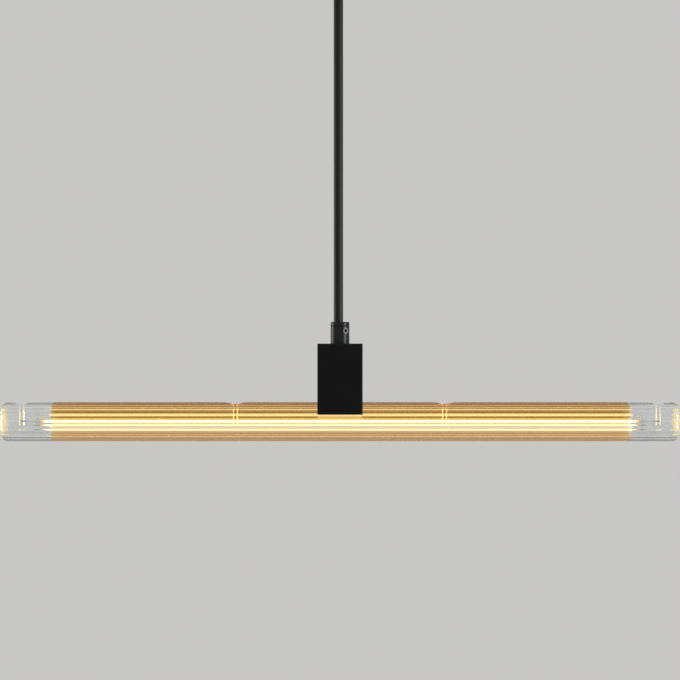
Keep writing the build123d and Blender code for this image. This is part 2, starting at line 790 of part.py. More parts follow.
# The pressed cup, open against the ceiling
with BuildPart() as rose_cup:
    with BuildSketch(Plane.XY):
        Circle(cup_diameter / 2)
    extrude(amount=-cup_height)
    fillet(edges().group_by(Axis.Z)[0], cup_corner)
    offset(amount=-cup_wall, openings=faces().sort_by(Axis.Z)[-1])
    with BuildSketch(Plane.XY.offset(-cup_height)):
        Circle(nipple_diameter / 2 + screw_hole_fit)
    extrude(amount=2 * cup_wall, mode=Mode.SUBTRACT)
    with BuildSketch(Plane.YZ):
        with Locations((0, -side_screw_drop)):
            Circle(side_screw_diameter / 2 + screw_hole_fit)
    extrude(amount=cup_diameter, both=True, mode=Mode.SUBTRACT)
rose_cup.part.label = "rose_cup"
export_step(rose_cup.part, "parts/rose_cup.step")

# The folded steel strap that is screwed to the ceiling and carries the cup
with BuildPart() as rose_strap:
    with BuildSketch(Plane.XZ):
        with Locations((0, -strap_drop / 2)):
            Rectangle(strap_length, strap_drop)
        fillet(vertices().group_by(Axis.Y)[-1], strap_bend)
        with Locations((0, -strap_thickness - strap_drop / 2)):
            Rectangle(strap_length - 2 * strap_thickness, strap_drop, mode=Mode.SUBTRACT)
    extrude(amount=strap_width / 2, both=True)
    with BuildSketch(Plane.XY):
        with Locations((-slot_spacing / 2, 0), (slot_spacing / 2, 0)):
            SlotOverall(slot_length, slot_width)
        with Locations((block_place, 0)):
            Circle(block_screw_diameter / 2 + wire_fit)
    extrude(amount=-2 * strap_thickness, mode=Mode.SUBTRACT)
    with BuildSketch(Plane.YZ):
        with Locations((0, -side_screw_drop)):
            Circle(side_screw_diameter / 2 + wire_fit)
    extrude(amount=strap_length, both=True, mode=Mode.SUBTRACT)
rose_strap.part.label = "rose_strap"
export_step(rose_strap.part, "parts/rose_strap.step")

with BuildPart() as rose_side_screws:
    for side in (-1, 1):
        head_plane = Plane(origin=(side * cup_diameter / 2, 0, -side_screw_drop), z_dir=(side, 0, 0))
        with BuildSketch(head_plane):
            Circle(side_screw_head / 2)
        extrude(amount=side_screw_head_height)
        with BuildSketch(head_plane):
            Circle(side_screw_diameter / 2)
        extrude(amount=-side_screw_length)
        with BuildSketch(head_plane.offset(side_screw_head_height)):
            Rectangle(side_screw_head, side_screw_head_height / 2)
        extrude(amount=-side_screw_head_height / 2, mode=Mode.SUBTRACT)
rose_side_screws.part.label = "rose_side_screws"
export_step(rose_side_screws.part, "parts/rose_side_screws.step")

# The two-pole terminal block under the strap
with BuildPart() as rose_terminal_block:
    block_bottom = -strap_thickness - block_height
    with BuildSketch(Plane.XY.offset(block_bottom)):
        with Locations((block_place, 0)):
            RectangleRounded(block_length, block_width, cup_wall)
    extrude(amount=block_height)
    with BuildSketch(Plane.YZ.offset(pole_face)):
        with Locations((-block_pole_pitch / 2, pole_height), (block_pole_pitch / 2, pole_height)):
            Circle(block_bore / 2)
    extrude(amount=block_bore_depth, mode=Mode.SUBTRACT)
    with BuildSketch(Plane.XY.offset(block_bottom)):
        with Locations((block_place, -block_pole_pitch / 2), (block_place, block_pole_pitch / 2)):
            Circle(pole_screw_diameter / 2 + wire_fit)
    extrude(amount=pole_screw_height, mode=Mode.SUBTRACT)
    with BuildSketch(Plane.XY.offset(block_bottom)):
        with Locations((block_place, 0)):
            Circle(block_screw_diameter / 2 + screw_hole_fit)
    extrude(amount=block_height, mode=Mode.SUBTRACT)
rose_terminal_block.part.label = "rose_terminal_block"
export_step(rose_terminal_block.part, "parts/rose_terminal_block.step")

with BuildPart() as rose_pole_screws:
    with BuildSketch(Plane.XY.offset(block_bottom + pole_screw_height)):
        with Locations((block_place, -block_pole_pitch / 2), (block_place, block_pole_pitch / 2)):
            Circle(pole_screw_diameter / 2)
    extrude(amount=-pole_screw_height)
rose_pole_screws.part.label = "rose_pole_screws"
export_step(rose_pole_screws.part, "parts/rose_pole_screws.step")

with BuildPart() as rose_block_screw:
    with BuildSketch(Plane.XY.offset(block_bottom)):
        with Locations((block_place, 0)):
            Circle(block_screw_head / 2)
    extrude(amount=-block_screw_head_height)
    with BuildSketch(Plane.XY.offset(block_bottom)):
        with Locations((block_place, 0)):
            Circle(block_screw_diameter / 2)
    extrude(amount=block_height + strap_thickness)
rose_block_screw.part.label = "rose_block_screw"
export_step(rose_block_screw.part, "parts/rose_block_screw.step")
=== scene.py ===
# %% [markdown]
# # A pendant tube lamp
# A ribbed glass tube with one long lit filament is plugged at its middle into a small square
# lampholder, and the holder hangs on a taut cable. The solid model gives every place and size.
# This notebook gives each solid its finish and remodels the glass, because its ribs bend the
# light of the filament into the lines that make the lamp what it is.

from math import cos, pi, radians, sin

import bmesh
import bpy
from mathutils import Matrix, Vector


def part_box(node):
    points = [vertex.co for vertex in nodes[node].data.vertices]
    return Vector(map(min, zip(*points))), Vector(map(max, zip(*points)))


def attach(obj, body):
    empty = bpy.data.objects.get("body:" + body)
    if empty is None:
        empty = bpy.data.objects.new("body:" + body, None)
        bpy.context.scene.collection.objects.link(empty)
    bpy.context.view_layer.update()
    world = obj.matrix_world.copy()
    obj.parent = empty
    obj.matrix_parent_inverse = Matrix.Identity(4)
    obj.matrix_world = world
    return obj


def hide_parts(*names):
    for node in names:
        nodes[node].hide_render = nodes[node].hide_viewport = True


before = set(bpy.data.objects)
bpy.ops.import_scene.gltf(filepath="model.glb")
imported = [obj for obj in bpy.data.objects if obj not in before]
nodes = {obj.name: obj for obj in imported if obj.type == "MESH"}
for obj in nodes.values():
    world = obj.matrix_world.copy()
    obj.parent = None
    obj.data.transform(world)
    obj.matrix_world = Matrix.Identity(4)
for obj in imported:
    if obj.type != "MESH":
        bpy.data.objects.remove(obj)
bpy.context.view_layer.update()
mm = 0.001

# %% [markdown]
# ## Where the tube lies
# The tube's own box holds what the scene needs to know: its length, its radius (half its depth,
# because the neck on top makes it taller) and the height of its axis. Everything that is placed
# along the tube is worked out from these three.

# %% Read the tube's place
tube_low, tube_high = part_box("glass_tube")
half_length = tube_high.x
tube_radius = tube_high.y
axis_height = tube_low.z + tube_radius
crest_height = axis_height + tube_radius
print("tube length", 2 * half_length, "radius", tube_radius, "axis at", axis_height)

# %% [markdown]
# ## The camera
# The photograph looks straight at the lamp from the front, with no sign of perspective, so the
# camera is level and stands well back with a long lens. The tube is 677.5 of the picture's 680
# pixels long, and its axis lies 81.75 pixels below the picture's middle, which fixes the lens
# and the camera's height.

# %% Place the camera
picture_width = 680
tube_width_in_picture = 677.5
axis_below_middle = 81.75
camera_distance = 1.6
sensor_width = 36

metres_per_pixel = 2 * half_length / tube_width_in_picture
view_width = picture_width * metres_per_pixel
bpy.ops.object.select_all(action="DESELECT")
bpy.ops.object.camera_add(
    location=(0, -camera_distance, axis_height + axis_below_middle * metres_per_pixel),
    rotation=(pi / 2, 0, 0),
)
camera = bpy.context.object
camera.name = "camera"
camera.data.sensor_width = sensor_width
camera.data.lens = sensor_width * camera_distance / view_width
bpy.context.scene.camera = camera
print("lens", round(camera.data.lens, 1), "mm, view", round(view_width, 4), "m wide")

# %% [markdown]
# ## The cable
# The cable carries the lamp, so it is pulled straight. It starts inside the holder's cord grip
# and ends inside the ceiling rose's, just above the picture. A curve with a round bevel is the
# simplest true model of it: the four control points lie on one line, two near the ends where
# the grips hold it. A point's own radius scales the bevel, and Blender also measures a curve's
# box by it, so the bevel is 1 deep and each point's radius is the cable's.

# %% Lay the cable
cable_radius = 3.5 * mm
cable_points = [
    (-1.194 * mm, 1.280 * mm, -294.2 * mm),
    (-1.194 * mm, 1.280 * mm, -252.2 * mm),
    (-1.194 * mm, 1.280 * mm, -72.3 * mm),
    (-1.194 * mm, 1.280 * mm, -30.3 * mm),
]
cable_curve = bpy.data.curves.new("cable", "CURVE")
cable_curve.dimensions = "3D"
cable_curve.bevel_depth = 1
cable_curve.bevel_resolution = 10
cable_curve.use_fill_caps = True
cable_line = cable_curve.splines.new("NURBS")
cable_line.points.add(len(cable_points) - 1)
for point, place in zip(cable_line.points, cable_points):
    point.co = (*place, 1)
    point.radius = cable_radius
cable_line.order_u = 3
cable_line.use_endpoint_u = True
cable_line.resolution_u = 12
cable = bpy.data.objects.new("cable", cable_curve)
bpy.context.scene.collection.objects.link(cable)

holder_grip_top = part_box("holder_grip")[1].z
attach(cable, "root")
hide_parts("supply_cable")
print("cable from", cable_points[0], "to", cable_points[-1])

# %% [markdown]
# ## Tools for the glass
# The glass is shaped in edit mode from rings: a ring of points is drawn once, and then extruded
# along the tube again and again, scaled where the wall curves in. Two small helpers do this:
# one selects points by their place, and one grows the selected ring along an axis.

# %% Make the modelling helpers


def start():
    """Leave edit mode and deselect everything, so that the next operator acts alone."""
    if bpy.context.mode != "OBJECT":
        bpy.ops.object.mode_set(mode="OBJECT")
    bpy.ops.object.select_all(action="DESELECT")


def settle(name):
    """Name the new object and put its place and turn into its mesh."""
    piece = bpy.context.object
    piece.name = name
    piece.data.name = name
    bpy.ops.object.transform_apply(location=True, rotation=True, scale=True)
    return piece


def choose(test, kind="VERT"):
    """In edit mode, select the points, edges or faces whose points all pass a test."""
    bpy.ops.mesh.select_mode(type=kind)
    bpy.ops.mesh.select_all(action="DESELECT")
    mesh = bmesh.from_edit_mesh(bpy.context.edit_object.data)
    found = 0
    for item in {"VERT": mesh.verts, "EDGE": mesh.edges, "FACE": mesh.faces}[kind]:
        corners = [item] if kind == "VERT" else item.verts
        if all(test(corner.co) for corner in corners):
            item.select_set(True)
            found += 1
    mesh.select_flush_mode()
    bmesh.update_edit_mesh(bpy.context.edit_object.data)
    return found


def grow(profile, direction, foot):
    """Extrude the selected ring through (distance, radius) steps that start at its own."""
    spread = Vector((1, 1, 1)) - direction
    for (before, radius), (after, next_radius) in zip(profile, profile[1:]):
        step = direction * (after - before)
        bpy.ops.mesh.extrude_region_move(TRANSFORM_OT_translate={"value": tuple(step)})
        if next_radius != radius:
            share = next_radius / radius
            bpy.ops.transform.resize(
                value=tuple(direction + spread * share),
                center_override=tuple(foot + direction * after),
            )


def combine(piece, tool, operation):
    """Cut a tool's shape from a piece, or add it, and drop the tool."""
    start()
    piece.select_set(True)
    bpy.context.view_layer.objects.active = piece
    modifier = piece.modifiers.new("combine", "BOOLEAN")
    modifier.operation = operation
    modifier.object = tool
    modifier.solver = "EXACT"
    bpy.ops.object.modifier_apply(modifier=modifier.name)
    bpy.data.objects.remove(tool)


along = Vector((1, 0, 0))
upward = Vector((0, 0, 1))
print("helpers ready")

# %% [markdown]
# ## The outer wall of the glass
# The real tube is pressed with twenty rounded ribs. Seen in section they are a smooth wave, and
# that matters: each rib works as a lens, so the one filament shows as several bright lines, and
# a sharper rib would scatter them. The section is a circle of points, and the points at each
# step of the wave are drawn in towards the axis together.

# %% Draw one ribbed ring
rib_count = 20
points_per_rib = 12
rib_height = 0.7 * mm
same_height = 0.01

start()
bpy.ops.mesh.primitive_circle_add(
    vertices=rib_count * points_per_rib,
    radius=tube_radius,
    location=(-half_length, 0, axis_height),
    rotation=(0, pi / 2, 0),
)
outer_wall = settle("outer_wall")
bpy.ops.object.mode_set(mode="EDIT")


def rib_wave(place):
    """How far round its rib a point lies, as the cosine of the wave: 1 on the crest."""
    return Vector((-place.y, place.z - axis_height)).angle_signed(Vector((1, 0))) * rib_count


for step in range(points_per_rib // 2 + 1):
    height = cos(2 * pi * step / points_per_rib)
    moved = choose(lambda place: abs(cos(rib_wave(place)) - height) < same_height)
    share = 1 - rib_height / tube_radius * (1 - height) / 2
    bpy.ops.transform.resize(
        value=(1, share, share), center_override=(-half_length, 0, axis_height)
    )
    print("wave step", step, "moved", moved, "points by", round(share, 4))

# %% [markdown]
# ## The rounded ends
# A glassblower closes such a tube in the flame, which leaves a softly rounded rim and a nearly
# flat end that bulges a little. The ring is first shrunk to the pole, then grown out over the
# bulge and round the rim, along the whole tube, and closed again in the same way. It gets more
# rings near the four posts, where the wall will be dented.

# %% Plan the rings of the wall
end_bulge = 0.8 * mm
rim_radius = 4 * mm
shoulder = tube_radius - rim_radius
dome_rings = 5
rim_rings = 9
post_places = [-234.7 * mm, -77.1 * mm, 77.1 * mm, 234.7 * mm]
dent_length = 17 * mm
dent_rings = 20
long_step = 24 * mm

end_profile = []
for ring in range(1, dome_rings + 1):
    share = ring / dome_rings
    end_profile.append((end_bulge * share**2, shoulder * share))
for ring in range(1, rim_rings + 1):
    turn = pi / 2 * ring / rim_rings
    end_profile.append((end_bulge + rim_radius * (1 - cos(turn)), shoulder + rim_radius * sin(turn)))

body_start = end_profile[-1][0] - half_length
stations = {body_start, -body_start, 0}
for place in post_places:
    stations |= {place + dent_length * (ring / dent_rings - 0.5) for ring in range(dent_rings + 1)}
stations = sorted(stations)
filled = [stations[0]]
for station in stations[1:]:
    gap = station - filled[-1]
    pieces_of_gap = int(gap // long_step) + 1
    first = filled[-1]
    filled += [first + gap * part / pieces_of_gap for part in range(1, pieces_of_gap + 1)]

wall_profile = [(inset - half_length, radius) for inset, radius in end_profile[:-1]]
wall_profile += [(station, tube_radius) for station in filled]
wall_profile += [(half_length - inset, radius) for inset, radius in end_profile[-2::-1]]
print("outer wall rings:", len(wall_profile))

# %% Grow the wall along the tube
bpy.ops.mesh.select_all(action="SELECT")
first_place, first_radius = wall_profile[0]
first_share = first_radius / tube_radius
bpy.ops.transform.translate(value=(first_place + half_length, 0, 0))
bpy.ops.transform.resize(
    value=(1, first_share, first_share), center_override=(first_place, 0, axis_height)
)
grow(wall_profile, along, Vector((0, 0, axis_height)))
last_ring = half_length - end_bulge / dome_rings**2 - mm / 100
for side in (-1, 1):
    ring_size = choose(lambda place: place.x * side > last_ring)
    bpy.ops.mesh.merge(type="CENTER")
    print("pole", side, "closed from", ring_size, "points")
bpy.ops.mesh.select_all(action="SELECT")
bpy.ops.mesh.normals_make_consistent(inside=False)

# %% [markdown]
# ## Four dents
# Each post was made by pushing a hot rod of glass in from above, which drew the wall down into
# a shallow dent. Proportional editing does the same to the mesh: one point is pulled down and
# its neighbours follow it smoothly.

# %% Dent the wall over the posts
dent_depth = 1.3 * mm
near = mm / 4


def over_post(point, place):
    """Whether a point of the wall lies right over the post at a place."""
    return abs(point.x - place) < near and abs(point.y) < near and point.z > axis_height


for place in post_places:
    choose(lambda point: over_post(point, place))
    bpy.ops.transform.translate(
        value=(0, 0, -dent_depth),
        use_proportional_edit=True,
        proportional_edit_falloff="SMOOTH",
        proportional_size=dent_length / 2,
    )
bpy.ops.object.mode_set(mode="OBJECT")
dented = [v.co.z for v in outer_wall.data.vertices if over_post(v.co, post_places[0])]
print("wall over a post is", round((crest_height - min(dented)) / mm, 2), "mm below the crest")

# %% [markdown]
# ## The neck
# The tube is sealed through a short neck on top of its middle, which the lamp cap covers. It is
# a small cylinder with a rounded top, added to the wall.

# %% Add the neck
neck_radius = 4 * mm
neck_bore = 2.7 * mm
neck_roof = 1.2 * mm
neck_foot = crest_height - 1.5 * mm
neck_top = tube_high.z

start()
bpy.ops.mesh.primitive_cylinder_add(
    vertices=48,
    radius=neck_radius,
    depth=neck_top - neck_foot,
    location=(0, 0, (neck_top + neck_foot) / 2),
)
neck = settle("neck")
bpy.ops.object.mode_set(mode="EDIT")
choose(lambda place: place.z > neck_top - mm / 10, "EDGE")
bpy.ops.mesh.bevel(offset=neck_roof / 2, segments=4, affect="EDGES")
bpy.ops.object.mode_set(mode="OBJECT")
combine(outer_wall, neck, "UNION")
print("outer wall faces with the neck:", len(outer_wall.data.polygons))

# %% [markdown]
# ## The bore
# Inside, the tube is smooth and round. The hollow is modelled as a solid of air: a cylinder
# with rounded ends and the neck's bore. The posts stand in that air, so they are taken out of
# it, and at the end its faces are turned round to bound the glass.

# %% Model the hollow
wall = 1.1 * mm
end_wall = 1.8 * mm
bore_radius = tube_radius - rib_height - wall
bore_corner = 3 * mm
bore_half = half_length - end_wall
cut_from_post = 5 * mm

start()
bpy.ops.mesh.primitive_cylinder_add(
    vertices=120,
    radius=bore_radius,
    depth=2 * bore_half,
    location=(0, 0, axis_height),
    rotation=(0, pi / 2, 0),
)
hollow = settle("hollow")
bpy.ops.object.mode_set(mode="EDIT")
for side in (-1, 1):
    choose(lambda place: place.x * side > bore_half - mm / 10, "EDGE")
    bpy.ops.mesh.bevel(offset=bore_corner, segments=8, affect="EDGES")
cut_places = [0] + [place + side * cut_from_post for place in post_places for side in (-1, 1)]
for place in cut_places:
    bpy.ops.mesh.select_all(action="SELECT")
    bpy.ops.mesh.bisect(plane_co=(place, 0, 0), plane_no=(1, 0, 0))
bpy.ops.object.mode_set(mode="OBJECT")
print("bore radius", round(bore_radius / mm, 2), "mm, half length", round(bore_half / mm, 1), "mm")

# %% Add the neck's bore
air_top = neck_top - neck_roof
air_foot = axis_height + bore_radius / 2

start()
bpy.ops.mesh.primitive_cylinder_add(
    vertices=32,
    radius=neck_bore,
    depth=air_top - air_foot,
    location=(0, 0, (air_top + air_foot) / 2),
)
combine(hollow, settle("neck_hollow"), "UNION")
print("hollow faces:", len(hollow.data.polygons))

# %% [markdown]
# ## The posts
# Each post is a glass rod that flares where it meets the wall and ends in a small bead, which
# keeps the filament's wire from slipping off. It is lathed from its lower end upwards: a disc
# is extruded and scaled ring by ring.

# %% Lathe the posts and take them out of the air
post_radius = 1.85 * mm
bead_radius = 2.15 * mm
bead_bottom = -360.2 * mm
bead_top = -359.45 * mm
root_height = axis_height + bore_radius
flare_radius = 3.4 * mm
post_profile = [
    (bead_bottom, post_radius * 0.8),
    (bead_bottom + 0.1 * mm, post_radius),
    (bead_bottom + 0.37 * mm, bead_radius),
    (bead_top, post_radius),
    (root_height - 2.6 * mm, post_radius),
    (root_height - 1.4 * mm, post_radius * 1.1),
    (root_height - 0.6 * mm, post_radius * 1.32),
    (root_height, flare_radius),
    (root_height + 0.7 * mm, flare_radius),
]
for place in post_places:
    start()
    bpy.ops.mesh.primitive_circle_add(
        vertices=32, radius=post_profile[0][1], fill_type="NGON", location=(place, 0, bead_bottom)
    )
    post = settle("post")
    bpy.ops.object.mode_set(mode="EDIT")
    bpy.ops.mesh.select_all(action="SELECT")
    grow(post_profile, upward, Vector((place, 0, 0)))
    bpy.ops.mesh.select_all(action="SELECT")
    bpy.ops.mesh.normals_make_consistent(inside=False)
    bpy.ops.object.mode_set(mode="OBJECT")
    combine(hollow, post, "DIFFERENCE")

start()
hollow.select_set(True)
bpy.context.view_layer.objects.active = hollow
bpy.ops.object.mode_set(mode="EDIT")
bpy.ops.mesh.select_all(action="SELECT")
bpy.ops.mesh.normals_make_consistent(inside=True)
bpy.ops.object.mode_set(mode="OBJECT")
print("hollow faces with the posts out:", len(hollow.data.polygons))

# %% [markdown]
# ## Words for finishes
# A finish is a Principled shader and a few nodes that vary it. Writing shader maths as plain
# sums keeps it readable, so a small class wraps a node's output and turns sums into Math nodes.
# A second class holds a material and makes every other node in one way.

# %% Make the shader helpers


class Value:
    """A node's output that can be used in sums."""

    def __init__(self, finish, socket):
        self.finish = finish
        self.socket = socket

    def __add__(self, other):
        return self.finish.math("ADD", self, other)

    def __sub__(self, other):
        return self.finish.math("SUBTRACT", self, other)

    def __rsub__(self, other):
        return self.finish.math("SUBTRACT", other, self)

    def __mul__(self, other):
        return self.finish.math("MULTIPLY", self, other)

    def __abs__(self):
        return self.finish.math("ABSOLUTE", self)

    __radd__ = __add__
    __rmul__ = __mul__


class Finish:
    """A material with one Principled shader, and the nodes that vary it."""

    def __init__(self, name, fixed=None):
        self.material = bpy.data.materials.new(name)
        self.material.use_nodes = True
        self.tree = self.material.node_tree
        self.shader = self.tree.nodes["Principled BSDF"]
        self.set(fixed or {})
        self.place = self.node("TexCoord", output="Object")

    def plug(self, socket, value):
        """Link a node's output to a socket, or set the socket to a number or colour."""
        if isinstance(value, Value):
            self.tree.links.new(value.socket, socket)
        elif socket.type == "RGBA":
            socket.default_value = (*value, 1)
        else:
            socket.default_value = value

    def set(self, values):
        """Give the shader's sockets their values or links."""
        for name, value in values.items():
            self.plug(self.shader.inputs[name], value)

    def node(self, kind, values=None, output=0, **settings):
        """Add a node: its settings first, then the values or links of its sockets."""
        made = self.tree.nodes.new("ShaderNode" + kind)
        for name, value in settings.items():
            setattr(made, name, value)
        for name, value in (values or {}).items():
            self.plug(made.inputs[name], value)
        return Value(self, made.outputs[output])

    def math(self, operation, *values):
        """The result of a Math node."""
        return self.node("Math", dict(enumerate(values)), operation=operation)

    def mix(self, share, first, second):
        """A colour between two others."""
        return self.node("Mix", {0: share, 6: first, 7: second}, output=2, data_type="RGBA")

    def rise(self, value, low, high):
        """0 below low, 1 above high, and a smooth step between them."""
        limits = {"Value": value, "From Min": low, "From Max": high}
        return self.node("MapRange", limits, interpolation_type="SMOOTHSTEP")

    def noise(self, scale, detail=2.0, stretch=(1, 1, 1)):
        """Cloudy noise from 0 to 1, with scale in cells per metre, stretched along an axis."""
        place = self.node("Mapping", {"Vector": self.place, "Scale": stretch})
        return self.node("TexNoise", {"Vector": place, "Scale": scale, "Detail": detail})

    def axes(self, names="XYZ"):
        """The place's distance along each named axis."""
        split = self.node("SeparateXYZ", {"Vector": self.place})
        outputs = split.socket.node.outputs
        return [Value(self, outputs[name]) for name in names]

    def relief(self, height, depth, strength=1.0):
        """The normal of a surface with fine relief, its depth in metres."""
        return self.node("Bump", {"Height": height, "Distance": depth, "Strength": strength})


def dress(finish, *names):
    """Give a finish to CAD nodes."""
    for name in names:
        for slot in nodes[name].material_slots:
            slot.material = finish.material
    print(finish.material.name, "on", ", ".join(names))


print("shader helpers ready")

# %% [markdown]
# ## Glass that carries the glow
# Lit, the ribs catch the filament's warm light. The glow stops at a sharp edge a little before
# the filament does, and both ends stay clear. All of it is painted by the angle round the tube,
# the same in front and behind, so it stays on the glass from every side. First comes the lit
# part: its edge runs a little further along each crest, and is frayed by the ribs' streaks.

# %% Mark the lit part of the glass
glow_end = 211.7 * mm
glow_edge = 0.6 * mm
glow_lean = 0.0028
crest_reach = 1.8 * mm
frayed = 2.4 * mm
stripe_lift = radians(5.4)

ribbed_glass = Finish(
    "ribbed_glass",
    {"Transmission Weight": 1.0, "IOR": 1.5, "Roughness": 0.0, "Emission Strength": 1.0},
)
x, y, z = ribbed_glass.axes()
reach = abs(x)
tilt = ribbed_glass.math("ARCTAN2", z - axis_height, abs(y))
crest = ribbed_glass.math("COSINE", (tilt - stripe_lift) * rib_count) * 0.5 + 0.5
streak = ribbed_glass.noise(900, 2.0, (0.02, 1, 1))
edge_place = reach - x * glow_lean - crest * crest_reach + (streak - 0.5) * frayed
lit = 1 - ribbed_glass.rise(edge_place, glow_end - glow_edge, glow_end + glow_edge)
print("lit to", round(glow_end / mm, 1), "mm from the middle, and stays clear beyond")

# %% [markdown]
# Above the filament each rib gets a painted bright line of the filament's light on its crest and a
# dimmer painted one in its valley, which narrow and fade towards the top. Below it the painted glow
# is an even pinkish tan with a fine ripple, and it is dim on the underside. The tilt is the angle up
# from the filament's level, so each of these zones is a step between two tilts.

# %% Paint the stripes of light


def between(low, high):
    """A range of tilt, given in degrees."""
    return radians(low), radians(high)


# These colours are painted light: the filament's glow on crests and valleys, at the top, below and on the
# underside.
painted_valley_light = (0.11, 0.075, 0.0)
painted_crest_light = (0.74, 0.57, 0.25)
painted_top_valley_light = (0.0, 0.0, 0.0)
painted_top_crest_light = (0.44, 0.25, 0.07)
painted_low_glow = (0.34, 0.25, 0.13)
painted_low_ripple_light = (0.22, 0.16, 0.08)
painted_underside_light = (0.07, 0.05, 0.03)
stripe_slope = (0.22, 0.66)
most_narrowing = 0.34

ripple = ribbed_glass.math("COSINE", (tilt - stripe_lift) * (2 * rib_count)) * 0.5 + 0.5
narrowing = ribbed_glass.rise(tilt, *between(24, 36)) * most_narrowing
stripe = ribbed_glass.rise(crest - narrowing, *stripe_slope)
top = ribbed_glass.rise(tilt, *between(40, 62))
dark = ribbed_glass.mix(top, painted_valley_light, painted_top_valley_light)
bright = ribbed_glass.mix(top, painted_crest_light, painted_top_crest_light)
upper_glow = ribbed_glass.mix(stripe, dark, bright)
bottom = 1 - ribbed_glass.rise(tilt, *between(-72, -36))
lower_glow = ribbed_glass.mix(ripple, painted_low_ripple_light, painted_low_glow)
lower_glow = ribbed_glass.mix(bottom, lower_glow, painted_underside_light)
upper = ribbed_glass.rise(tilt, *between(2, 10))
glow = ribbed_glass.mix(upper, lower_glow, upper_glow)
print("stripes over", rib_count, "ribs")

# %% [markdown]
# Level with the filament a painted pale halo of light lies round its bright lines, with a painted
# yellow shoulder of light above it. Under the holder's edge the painted shoulder is wider and brighter,
# for the light the holder throws down on the glass. At each end of the tube a painted glint sparkles
# on the rim of the clear glass.

# %% Paint the halo, the shoulder and the rim glints
halo_glow = (0.5, 0.53, 0.35)
shoulder_glow = (0.48, 0.33, 0.08)
shoulder_under_box = (0.61, 0.45, 0.13)
shoulder_widening = radians(5)
box_reach = (15.5 * mm, 17 * mm)
# Painted highlight: a pale beaded glint on the clear rim at each end of the tube.
painted_rim_glint = (0.22, 0.21, 0.18)
rim_reach = (half_length - 0.9 * mm, half_length - 0.5 * mm)
clear_tint = (0.93, 0.945, 0.94)
# The amber tint is painted light: it colours the clear glass only where the filament lights it.
painted_glow_tint = (0.46, 0.3, 0.14)

# Painted light: the halo and the shoulder are emission laid on the glass.
under_box = 1 - ribbed_glass.rise(reach, *box_reach)
shoulder_top = 1 - ribbed_glass.rise(tilt - under_box * shoulder_widening, *between(12.5, 15))
shoulder = ribbed_glass.rise(tilt, *between(4, 9)) * shoulder_top
shoulder_light = ribbed_glass.mix(under_box, shoulder_glow, shoulder_under_box)
glow = ribbed_glass.mix(shoulder, glow, shoulder_light)
halo_top = 1 - ribbed_glass.rise(tilt, *between(6, 11))
halo = ribbed_glass.rise(tilt, *between(-31, -25)) * halo_top
glow = ribbed_glass.mix(halo, glow, halo_glow)
rim = ribbed_glass.rise(reach, *rim_reach)
rim_glint_beads = ribbed_glass.rise(ribbed_glass.noise(500, 3.0), 0.4, 0.6)
end_glow = ribbed_glass.mix(rim * rim_glint_beads, (0, 0, 0), painted_rim_glint)
ribbed_glass.set(
    {
        "Base Color": ribbed_glass.mix(lit, clear_tint, painted_glow_tint),
        "Emission Color": ribbed_glass.mix(lit, end_glow, glow),
    }
)
print("nodes in the ribbed glass:", len(ribbed_glass.tree.nodes))

# %% [markdown]
# The bore and the posts are the same glass without the stripes. Light that travels along the
# tube leaves the posts at their two flanks, which is painted on them as a pair of bright upright
# lines, and shines on the bore's two closed ends, which get a painted yellow tint and a beaded
# yellow band of painted light.

# %% Finish the bore and the posts
bore_strength = 4.0
# Painted light: the posts' bright flank lines, and the yellow band and tint at the bore's ends.
post_light = (0.15, 0.105, 0.035)
lit_post_light = (0.7, 0.56, 0.3)
end_light = (0.09, 0.068, 0.02)
painted_end_glow_tint = (0.88, 0.77, 0.48)
flank_inner = (0.85 * mm, 1.1 * mm)
flank_outer = (1.7 * mm, 1.85 * mm)
post_front = (2.2 * mm, 2.6 * mm)
flank_top = (root_height - 1.7 * mm, root_height - 1.2 * mm)
flank_bottom = (bead_bottom - mm, bead_bottom)
end_reach = (bore_half - 1.4 * mm, bore_half - 0.8 * mm)

bore_glass = Finish(
    "bore_glass",
    {
        "Transmission Weight": 1.0,
        "IOR": 1.5,
        "Roughness": 0.0,
        "Emission Strength": bore_strength,
    },
)
x, y, z = bore_glass.axes()
reach = abs(x)
off_post = bore_glass.math("MINIMUM", abs(reach - post_places[3]), abs(reach - post_places[2]))
flank = bore_glass.rise(off_post, *flank_inner) * (1 - bore_glass.rise(off_post, *flank_outer))
near_middle = 1 - bore_glass.rise(abs(y), *post_front)
below_wall = 1 - bore_glass.rise(z, *flank_top)
above_bottom = bore_glass.rise(z, *flank_bottom)
post_flank = flank * near_middle * below_wall * above_bottom
lit = 1 - bore_glass.rise(reach, glow_end - glow_edge, glow_end + glow_edge)
flank_light = bore_glass.mix(lit, post_light, lit_post_light)
end_place = bore_glass.rise(reach, *end_reach)
end_light_beads = bore_glass.rise(bore_glass.noise(500, 3.0), 0.3, 0.6)
end_band_light = bore_glass.mix(end_place * end_light_beads, (0, 0, 0), end_light)
wall_and_glow_tint = bore_glass.mix(lit, clear_tint, painted_glow_tint)
bore_glass.set(
    {
        "Base Color": bore_glass.mix(end_place, wall_and_glow_tint, painted_end_glow_tint),
        "Emission Color": bore_glass.mix(post_flank, end_band_light, flank_light),
    }
)
print("nodes in the bore's glass:", len(bore_glass.tree.nodes))

# %% [markdown]
# The two walls are one body of glass. They are joined into one mesh, in which the outer faces
# keep the ribbed finish and the inner ones the bore's, and their shading is smoothed wherever
# the angle between two faces is small.

# %% Join the glass
smooth_angle = radians(38)

